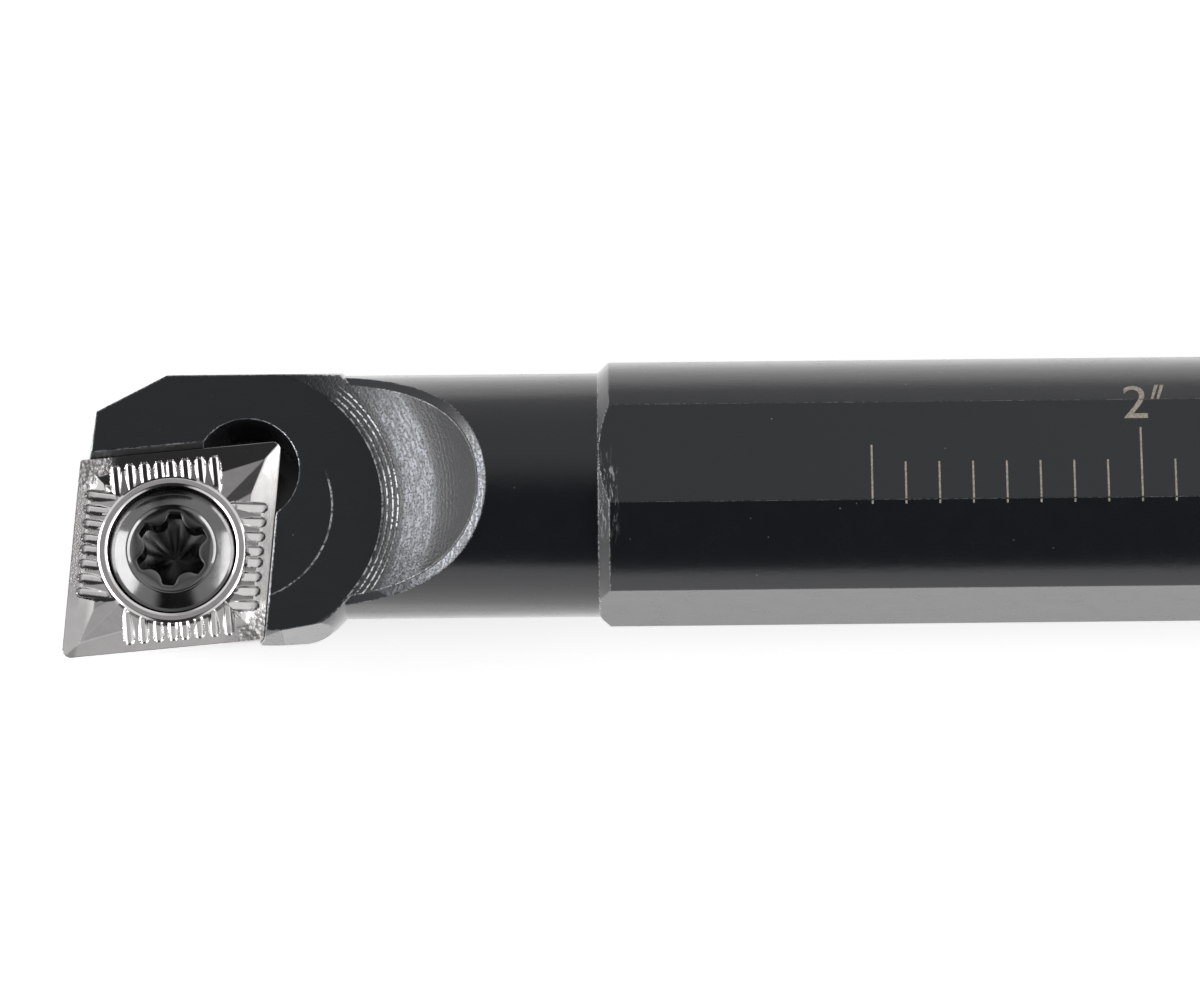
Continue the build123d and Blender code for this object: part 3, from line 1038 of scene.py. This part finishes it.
@dataclass
class CuttingInsert(RingForm):
    """The carbide insert with its pressed chip breaker: groove, ribs, seat ring and corner forms."""

    rays: int = 840
    finish: PressedCarbide = PressedCarbide()
    thickness: float = 3.97
    clearance_angle: float = 7
    hole_radius: float = 2.2
    seat_radius: float = 3.1
    seat_drop: float = 0.45
    seat_angle: float = 60
    hone: float = 0.02
    edge_land: float = 0.03
    edge_insets: tuple[float, ...] = (0.06, 0.12, 0.2, 0.3, 0.38, 0.44, 0.48, 0.52, 0.55, 0.58, 0.62, 0.68)
    top_steps: int = 32
    groove_angle: float = 22.4
    groove_twist: float = 2
    groove_width: float = 1.25
    ring_width: float = 0.46
    ring_rise: float = 0.06
    ring_crest: float = 0.11
    ring_round: float = 0.02
    ring_slope: float = 33
    ring_steps: int = 22
    bed_start: float = 0.62
    bed_angle: float = 5
    bed_reach: float = 2.45
    bed_end: float = 2
    ribs_a_side: int = 8
    rib_width: float = 0.46
    rib_level: float = -0.06
    rib_fall: float = 12
    rib_chamfer: float = 0.12
    rib_chamfer_angle: float = 33
    rib_wall_slope: float = 2.2
    rib_pitch: float = 0.7
    rib_middle_gap: float = 0.55
    rib_end_gap: float = 0.44
    rib_start: float = 1.5
    plateau_tip: float = 6.26
    plateau_level: float = -0.31
    plateau_fall: float = 3
    plateau_tilt: float = 3
    plateau_drop: float = 10
    wedge_tip: float = 5.0
    wedge_height: float = 0.24
    wedge_side: float = 0.5
    dull_nose: float = 0.16
    corner_start: float = 2
    facet_start: float = 3
    land_reach: Span = (4.0, 4.25)
    land_fade: Span = (0.75, 0.5)
    sharp_fade: Span = (4.2, 2.4)
    dull_fade: Span = (2.2, 0.8)
    dull_edge: Span = (1.0, 0.7)
    land_grit: Span = (0.08, 0.5)
    # How much darker the lands, the cutting corner's facet and the blunt corners are painted: partly the
    # wheel's duller finish, partly painted shade.
    land_ground_and_shade: Span = (0.75, 1.0)
    cutting_ground_and_shade: float = 0.55
    dull_ground_and_shade: float = 0.8
    top_depth: Span = (-0.5, -0.35)

    @property
    def radius(self) -> float:
        """Radius of the inscribed circle."""
        return self.seat.inscribed_circle / 2

    @property
    def groove_floor(self) -> float:
        """Height of the lowest part of the groove."""
        return -slope(self.groove_angle) * self.groove_width

    def sides(self) -> np.ndarray:
        """Directions in which the lower, rear, upper and front sides face, in radians."""
        angle = self.seat.included_angle
        return np.radians([-90, angle - 90, 90, angle + 90])

    def outline(self, inset: float) -> np.ndarray:
        """Reach of the rounded rhombus along each ray.

        Args:
            inset: How far inside the full outline.

        Returns:
            One reach for each ray.
        """
        inner = self.radius - inset
        slant = np.maximum(np.cos(self.turn[:, None] - self.sides()[None, :]), 1e-3)
        reach = (inner / slant).min(axis=1)
        for corner in Corner:
            half = math.radians(self.seat.half_angle(corner))
            nose = max((self.seat.nose_radius if corner.sharp else self.dull_nose) - inset, 0.05)
            distance = (inner - nose) / math.sin(half)
            off = off_angle(self.turn, math.radians(corner.value))
            limit = math.atan2(nose * math.cos(half), distance + nose * math.sin(half))
            root = np.sqrt(np.maximum(nose**2 - (distance * np.sin(off)) ** 2, 0))
            reach = np.where(np.abs(off) < limit, distance * np.cos(off) + root, reach)
        return reach

    def rib_offsets(self) -> list[float]:
        """Places of the ribs along a side, from its middle, with the middle two closer together."""
        closer = (self.rib_pitch - self.rib_middle_gap) / 2
        steps = [place - (self.ribs_a_side - 1) / 2 for place in range(self.ribs_a_side)]
        return [step * self.rib_pitch - math.copysign(closer, step) for step in steps]

    def ribs(self, x: np.ndarray, y: np.ndarray) -> np.ndarray:
        """Height of the ribs, which have flat tops, chamfered flanks and round ends.

        Args:
            x: Points along the insert.
            y: Points across it.

        Returns:
            The heights, very low away from any rib.
        """
        half = self.rib_width / 2
        tip = self.radius - self.rib_end_gap
        height = np.full_like(x, NOWHERE)
        for side in self.sides():
            out, along = towards(x, y, side)
            for offset in self.rib_offsets():
                across = np.abs(along - offset)
                gap = np.hypot(across, np.maximum(out - tip + half, 0))
                rib = self.rib_level - slope(self.rib_fall) * (tip - out)
                rib -= slope(self.rib_chamfer_angle) * np.maximum(across - half + self.rib_chamfer, 0)
                rib -= self.rib_wall_slope * np.maximum(gap - half, 0)
                height = np.maximum(height, np.where(out > self.rib_start, rib, NOWHERE))
        return height

    def groove(self, x: np.ndarray, y: np.ndarray) -> np.ndarray:
        """Height of the chip groove, which falls from the edges and is steeper at the sharp corners.

        Args:
            x: Points along the insert.
            y: Points across it.

        Returns:
            The heights.
        """
        height = np.full_like(x, self.groove_floor)
        for number, side in enumerate(self.sides()):
            out, along = towards(x, y, side)
            share = along / self.radius * (-1) ** (number + 1)
            angle = np.radians(self.groove_angle + self.groove_twist * share**3)
            inward = self.radius - self.edge_land - out
            height = np.maximum(height, -np.tan(angle) * np.maximum(inward, 0))
            bed = -slope(self.groove_angle) * self.bed_start
            bed = bed - slope(self.bed_angle) * (inward - self.bed_start)
            on_bed = (np.abs(along) < self.bed_reach) & (inward < self.bed_end)
            height = np.where(on_bed, np.maximum(height, bed), height)
        return height

    def corner_form(self, x: np.ndarray, y: np.ndarray, corner: Corner) -> np.ndarray:
        """Height of what fills a corner: two shallow faces at a sharp one, a small wedge at a dull one.

        Args:
            x: Points along the insert.
            y: Points across it.
            corner: The corner.

        Returns:
            The heights, very low away from the corner.
        """
        out, side = towards(x, y, math.radians(corner.value))
        if corner.sharp:
            height = self.plateau_level - slope(self.plateau_fall) * (self.plateau_tip - out)
            height -= side * np.where(side > 0, slope(self.plateau_tilt), -slope(self.plateau_drop))
        else:
            rise = self.wedge_height * (self.wedge_tip - out) / (self.wedge_tip - self.seat_radius)
            height = self.groove_floor + rise - self.wedge_side * np.abs(side)
        return np.where(out > self.corner_start, height, NOWHERE)

    def ring(self, across: Any) -> Any:
        """Height of the seat ring at a distance from its crest, which is soft between two even slopes."""
        beyond = np.hypot(np.maximum(across - self.ring_crest, 0), self.ring_round) - self.ring_round
        return self.ring_rise - slope(self.ring_slope) * beyond

    def top_row(self, reach: np.ndarray) -> np.ndarray:
        """One ring of points on the top face with its groove, ribs, corner forms and seat ring.

        Args:
            reach: The ring's radius along each ray.

        Returns:
            The points.
        """
        x, y = reach * np.cos(self.turn), reach * np.sin(self.turn)
        height = np.maximum(self.groove(x, y), self.ribs(x, y))
        for corner in Corner:
            height = np.maximum(height, self.corner_form(x, y, corner))
        across = np.abs(np.hypot(x, y) - self.seat_radius - self.ring_width / 2)
        return self.row(reach, np.where(across < self.ring_width / 2 + 0.001, self.ring(across), height))

    def rows(self) -> list[np.ndarray]:
        """All rings of the insert, from the top edge inwards, down the hole, out below and up the flanks.

        Returns:
            The rings.
        """
        foot = self.seat_radius + self.ring_width
        made = [self.row(self.outline(self.hone), 0.0)]
        made += [self.top_row(self.outline(inset)) for inset in (self.edge_land, *self.edge_insets)]
        rim, start = self.outline(self.edge_insets[-1]), foot + 0.02
        shares = (1 - step / self.top_steps for step in range(1, self.top_steps + 1))
        made += [self.top_row(start + (rim - start) * share) for share in shares]
        for step in range(self.ring_steps + 1):
            made.append(self.top_row(np.full(self.rays, foot - self.ring_width * step / self.ring_steps)))
        seat_top = self.ring_rise - self.seat_drop
        hole_top = seat_top - (self.seat_radius - self.hole_radius) / slope(self.seat_angle / 2)
        for reach, height in (
            (self.seat_radius, self.ring(self.ring_width / 2) - 0.03), (self.seat_radius, seat_top + 0.02),
            (self.seat_radius - 0.02, seat_top),
            (self.hole_radius + 0.02, hole_top + 0.03), (self.hole_radius, hole_top - 0.03),
            (self.hole_radius, 0.1 - self.thickness), (self.hole_radius + 0.1, -self.thickness),
        ):
            made.append(self.row(reach, height))
        taper = slope(self.clearance_angle)
        made.append(self.row(self.outline(self.thickness * taper + 0.05), -self.thickness))
        for depth in (self.thickness - 0.05, self.thickness / 2, 0.3, 0.06):
            made.append(self.row(self.outline(depth * taper), -depth))
        made.append(self.row(self.outline(0.0), -self.hone))
        made.append(self.row(self.outline(self.hone * 0.3), -self.hone * 0.3))
        return made

    def grit_and_shade(self, points: np.ndarray) -> dict[str, np.ndarray]:
        """How pitted and how darkened the surface is: along the lands, on the cutting facet and at the blunt
        corners.

        Args:
            points: Points in the insert's own millimetres.

        Returns:
            The attributes grit and ground, each with a share from 0 to 1 for each point.
        """
        x, y, z = points.T
        outs = np.array([towards(x, y, side)[0] for side in self.sides()])
        edge = self.radius - outs.max(axis=0)
        back, front = ramp(outs[1::2], *self.land_reach) * ramp(edge, *self.land_fade)
        sharp, dull = np.zeros_like(x), np.zeros_like(x)
        for corner in Corner:
            turn = math.radians(corner.value)
            reach = self.radius / math.sin(math.radians(self.seat.half_angle(corner)))
            away = np.hypot(x - reach * math.cos(turn), y - reach * math.sin(turn))
            if corner.sharp:
                sharp = np.maximum(sharp, ramp(away, *self.sharp_fade))
            else:
                dull = np.maximum(dull, ramp(away, *self.dull_fade))
        dull = dull * ramp(edge, *self.dull_edge)
        clean, on_top = 1 - sharp, ramp(z, *self.top_depth)
        grit = np.maximum.reduce((back * self.land_grit[0], front * self.land_grit[1], dull)) * clean
        plain_groove = self.groove(x, y) > self.corner_form(x, y, Corner.CUTTING)
        cutting_facet = plain_groove & (outs[3] > self.facet_start) & (outs[3] > outs[0])
        # Darker colour: partly the wheel's duller finish, partly painted shade fitted to the darker lands, the
        # cutting corner's facet and the blunt corners.
        ground_and_shade = np.maximum.reduce((
            back * self.land_ground_and_shade[0] * clean,
            front * self.land_ground_and_shade[1] * (1 - (1 - self.cutting_ground_and_shade) * sharp),
            cutting_facet * sharp * self.cutting_ground_and_shade,
            dull * self.dull_ground_and_shade,
        ))
        return {"grit": grit * on_top, "ground_and_shade": ground_and_shade * on_top}

    def build(self) -> bpy.types.Object:
        """Builds and dresses the insert.

        Returns:
            The insert, which stands for its solid.
        """
        mesh = self.mesh("cutting_insert_shape", self.rows(), closed=True)
        inverse = self.seat.insert_matrix().inverted()
        points = np.array([inverse @ v.co for v in mesh.vertices])
        for name, share in self.grit_and_shade(points).items():
            mesh.attributes.new(name, "FLOAT", "POINT").data.foreach_set("value", share.astype(np.float32))
        piece = new_piece("pressed_insert", mesh)
        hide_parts("cutting_insert")
        dress(piece, self.finish.material("pressed_carbide"))
        return piece


@dataclass
class InsertScrew(RingForm):
    """The clamping screw with its thread and six-lobed socket."""

    finish: BlackenedScrewSteel = BlackenedScrewSteel()
    shank_radius: float = 2.0
    head_radius: float = 2.98
    end: float = -6.33
    end_chamfer: float = 0.4
    countersink_rim: float = -0.563
    rim: float = -0.28
    crest_height: float = 0.2
    collar_width: float = 0.82
    collar_bulge: float = 0.011
    collar_steps: int = 15
    rim_round: float = 0.05
    seat_angle: float = 60
    dish_lip: float = 0.12
    thread_pitch: float = 0.7
    thread_depth: float = 0.3
    thread_top: float = -2.9
    thread_steps: int = 14
    thread_flank: Span = (0.4, 0.06)
    points_radius: float = 1.75
    waist_radius: float = 1.3
    flute_radius: float = 0.62
    lobes: int = 6
    flute_reach: float = 0.6
    softening: int = 3
    socket_side_depth: float = 1.5
    socket_floor_depth: float = 2.9
    socket_shares: tuple[float, ...] = (1.0, 0.97, 0.9, 0.8, 0.65, 0.5, 0.35, 0.2, 0.08, 0.02)
    socket_turn: float = 20

    def star(self) -> np.ndarray:
        """Reach of the six-lobed socket along each ray, with its points rounded.

        Returns:
            One reach for each ray.
        """
        reach = np.full_like(self.turn, self.points_radius)
        distance = self.waist_radius + self.flute_radius
        for flute in range(self.lobes):
            off = off_angle(self.turn, math.radians(self.socket_turn + (flute + 0.5) * 360 / self.lobes))
            inside = self.flute_radius**2 - (distance * np.sin(off)) ** 2
            hit = distance * np.cos(off) - np.sqrt(np.maximum(inside, 0))
            reach = np.where((inside > 0) & (np.abs(off) < self.flute_reach), np.minimum(reach, hit), reach)
        shifts = range(-self.softening, self.softening + 1)
        return np.mean([np.roll(reach, shift) for shift in shifts], axis=0)

    def thread_rows(self) -> list[np.ndarray]:
        """Rings of the thread, a helix of rounded crests, from the end upwards.

        Returns:
            The rings.
        """
        made = []
        start, steps = self.end + self.end_chamfer, self.thread_steps
        count = int((self.thread_top - start) / self.thread_pitch * steps)
        for step in range(count + 1):
            height = start + step * self.thread_pitch / steps
            phase = (height / self.thread_pitch - self.turn / (2 * math.pi)) % 1
            depth = self.thread_depth * ramp(np.abs(phase - 0.5), *self.thread_flank)
            fade = min(1, step / steps, (count - step) / steps)
            made.append(self.row(self.shank_radius - depth * fade, height))
        return made

    def head_rows(self) -> list[np.ndarray]:
        """Rings of the head from under its cone, over the collar and down into the socket.

        Returns:
            The rings.
        """
        cone_height = (self.head_radius - self.shank_radius) / slope(self.seat_angle / 2)
        crest = self.head_radius - self.collar_width
        made = [
            self.row(self.shank_radius, self.countersink_rim - cone_height),
            self.row(self.head_radius - self.rim_round * 0.6, self.countersink_rim - self.rim_round),
            self.row(self.head_radius, self.countersink_rim),
            self.row(self.head_radius - 0.01, self.rim),
        ]
        start, end = np.array((self.head_radius, self.rim)), np.array((crest, self.crest_height))
        outward = np.array((end[1] - start[1], start[0] - end[0])) / np.linalg.norm(end - start)
        for share in np.linspace(0, 1, self.collar_steps)[1:]:
            bulge = outward * self.collar_bulge * 4 * share * (1 - share)
            made.append(self.row(*(start + (end - start) * share + bulge)))
        floor = self.crest_height - self.dish_lip
        dish = crest - self.dish_lip - 0.05
        star = self.star()
        lip = np.minimum(star + 0.05, dish - 0.02)
        for reach, height in (
            (crest - 0.025, self.crest_height + 0.002), (crest - 0.05, self.crest_height - 0.012),
            (dish + 0.03, floor + 0.02), (dish, floor), ((dish + lip) / 2, floor), (lip, floor),
            (star + 0.012, floor - 0.012), (star, floor - 0.05),
        ):
            made.append(self.row(reach, height))
        cone = self.socket_floor_depth - self.socket_side_depth
        for share in self.socket_shares:
            reach = star * share
            depth = self.socket_side_depth + cone * (1 - reach / self.points_radius)
            made.append(self.row(reach, floor - depth))
        return made

    def build(self) -> bpy.types.Object:
        """Builds and dresses the screw.

        Returns:
            The screw, which stands for its solid.
        """
        tip = self.row(self.shank_radius - self.end_chamfer, self.end)
        mesh = self.mesh("insert_screw_shape", [tip, *self.thread_rows(), *self.head_rows()])
        piece = new_piece("clamping_screw", mesh)
        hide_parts("insert_screw")
        dress(piece, self.finish.material("black_oiled_screw_steel"))
        return piece


@dataclass
class Studio:
    """A pale floor, two soft lamps at the bar's ends, an even sky and the camera. In mm and degrees."""

    seat: Seat
    floor_size: float = 6000
    floor_colour: str = "#f2f2f1"
    floor_level: float = -6.517
    floor_glow: float = 0.6
    lamp_middle: float = 8
    lamp_distance: float = 600
    lamp_shift: float = -100
    lamp_width: float = 800
    lamp_height: float = 360
    lamp_levels: tuple[float, float] = (293, 258)
    lamp_radiance: float = 4.5
    sky_across: Ramp = (-0.36, 0.36, 0.03, 0.65)
    sky_along: Ramp = (-0.25, 0.2, 0.6, 1.3)
    sky_ends: Ramp = (0.25, 0.42, 0.0, 1.0)
    sky_end_level: float = 0.85
    sky_horizon: Ramp = (0.0, 0.07, 1.0, 0.0)
    sky_behind: Ramp = (-0.1, 0.4, 0.0, 1.0)
    sky_fill: float = 0.2
    camera_distance: float = 324.565
    camera_tilt: float = 19.584
    camera_yaw: float = -0.309
    camera_roll: float = -0.574
    camera_aim: tuple[float, float] = (25.25, 0.298)
    scale_offset: float = 0.4
    lens: float = 203.0
    sensor: float = 36.0
    clip: Span = (0.01, 20.0)

    def build_floor(self) -> None:
        """Lays the floor that the bar rests on."""
        half = self.floor_size / 2 * MM
        level = self.floor_level * MM
        corners = [(x * half, y * half, level) for x, y in ((-1, -1), (1, -1), (1, 1), (-1, 1))]
        mesh = bpy.data.meshes.new("floor")
        mesh.from_pydata(corners, [], [(0, 1, 2, 3)])
        floor = new_object("floor", mesh)
        material, nodes = empty_material("pale_studio_floor")
        matt = nodes.add("BsdfDiffuse", {"Color": linear(self.floor_colour)})
        glow = nodes.add("Emission", {"Color": WHITE, "Strength": self.floor_glow})
        seen = nodes.add("AddShader", (matt, glow))
        surface = nodes.add("MixShader", (self.looked_at(nodes), matt, seen))
        nodes.add("OutputMaterial", {"Surface": surface})
        floor.data.materials.append(material)

    def looked_at(self, nodes: Nodes) -> Socket:
        """Whether a ray is one that sees the background: straight, mirrored or through glass.

        Args:
            nodes: The nodes that ask.

        Returns:
            1 for such a ray, else 0.
        """
        path = nodes.add("LightPath").node.outputs
        rays = (path[f"Is {kind} Ray"] for kind in ("Camera", "Glossy", "Transmission"))
        return nodes.combine("MAXIMUM", *rays)

    def build_sky(self) -> None:
        """Makes the even sky, which mirrors see brighter behind the bar and white along the horizon."""
        world = bpy.data.worlds.new("studio_sky")
        bpy.context.scene.world = world
        world.use_nodes = True
        world.node_tree.nodes.clear()
        nodes = Nodes(world.node_tree)
        direction = nodes.add("TexCoord", output="Generated")
        x, y, z = nodes.add("SeparateXYZ", (direction,)).node.outputs
        sideways = nodes.add("Math", (x,), operation="ABSOLUTE")
        level, ends, horizon = (
            nodes.add("MapRange", span, interpolation_type="SMOOTHSTEP")
            for span in ((y, *self.sky_across), (sideways, *self.sky_ends), (z, *self.sky_horizon))
        )
        level = nodes.combine("MULTIPLY", level, nodes.add("MapRange", (x, *self.sky_along)))
        lighter = nodes.combine("MAXIMUM", level, self.sky_end_level)
        level = nodes.add("Mix", {0: ends, 2: level, 3: lighter}, data_type="FLOAT")
        horizon = nodes.combine("MULTIPLY", horizon, nodes.add("MapRange", (y, *self.sky_behind)))
        level = nodes.add("Mix", {0: horizon, 2: level, 3: 1.0}, data_type="FLOAT")
        strengths = (level, 1.0, self.sky_fill)
        mirrored, direct, fill = (nodes.add("Background", (WHITE, strength)) for strength in strengths)
        lit = nodes.add("MixShader", (self.looked_at(nodes), fill, mirrored))
        camera = nodes.add("LightPath", output="Is Camera Ray")
        nodes.add("OutputWorld", {"Surface": nodes.add("MixShader", (camera, lit, direct))})

    def build_lamps(self) -> None:
        """Hangs a wide soft lamp beyond each end of the bar's head."""
        for side, name, level in zip((-1, 1), ("front_softbox", "rear_softbox"), self.lamp_levels):
            light = bpy.data.lights.new(name, "AREA")
            light.shape = "RECTANGLE"
            light.size = self.lamp_width * MM
            light.size_y = self.lamp_height * MM
            light.energy = self.lamp_radiance * math.pi * light.size * light.size_y
            lamp = new_object(name, light)
            along = self.seat.station(self.lamp_middle) + side * self.lamp_distance
            lamp.location = Vector((along, self.lamp_shift, level)) * MM
            lamp.rotation_euler = Vector((-side, 0, 0)).to_track_quat("-Z", "Y").to_euler()
            lamp.visible_camera = False

    def build_camera(self) -> None:
        """Places the camera over the cutting side."""
        tilt, yaw, roll = (math.radians(a) for a in (self.camera_tilt, self.camera_yaw, self.camera_roll))
        back = Vector((0, -math.sin(tilt), math.cos(tilt)))
        up = Vector((0, math.cos(tilt), math.sin(tilt)))
        level = Vector((math.cos(yaw), 0, 0)) + back * math.sin(yaw)
        back = back * math.cos(yaw) - Vector((math.sin(yaw), 0, 0))
        right = level * math.cos(roll) + up * math.sin(roll)
        up = up * math.cos(roll) - level * math.sin(roll)
        along, above = self.camera_aim
        spot = right * along + up * above + back * self.camera_distance
        spot += Vector((self.seat.station(self.scale_offset), 0, 0))
        camera = new_object("camera", bpy.data.cameras.new("camera"))
        facing = Matrix((right, up, back)).transposed().to_4x4()
        camera.matrix_world = Matrix.Translation(spot * MM) @ facing
        camera.data.lens = self.lens
        camera.data.sensor_width = self.sensor
        camera.data.clip_start, camera.data.clip_end = self.clip
        bpy.context.scene.camera = camera

    def build(self) -> None:
        """Builds the whole studio with plain view settings."""
        self.build_floor()
        self.build_sky()
        self.build_lamps()
        self.build_camera()
        bpy.context.scene.view_settings.view_transform = "Standard"


def main() -> None:
    """Builds the bar's pieces and the studio in order."""
    seat = Seat()
    body = BarBody(seat)
    for build in (body.dress_body, body.build_scale, CuttingInsert(seat).build, InsertScrew(seat).build):
        piece = build()
        log.info("%s: %d faces", piece.name, len(piece.data.polygons))
    Studio(seat).build()


if __name__ == "__main__":
    main()
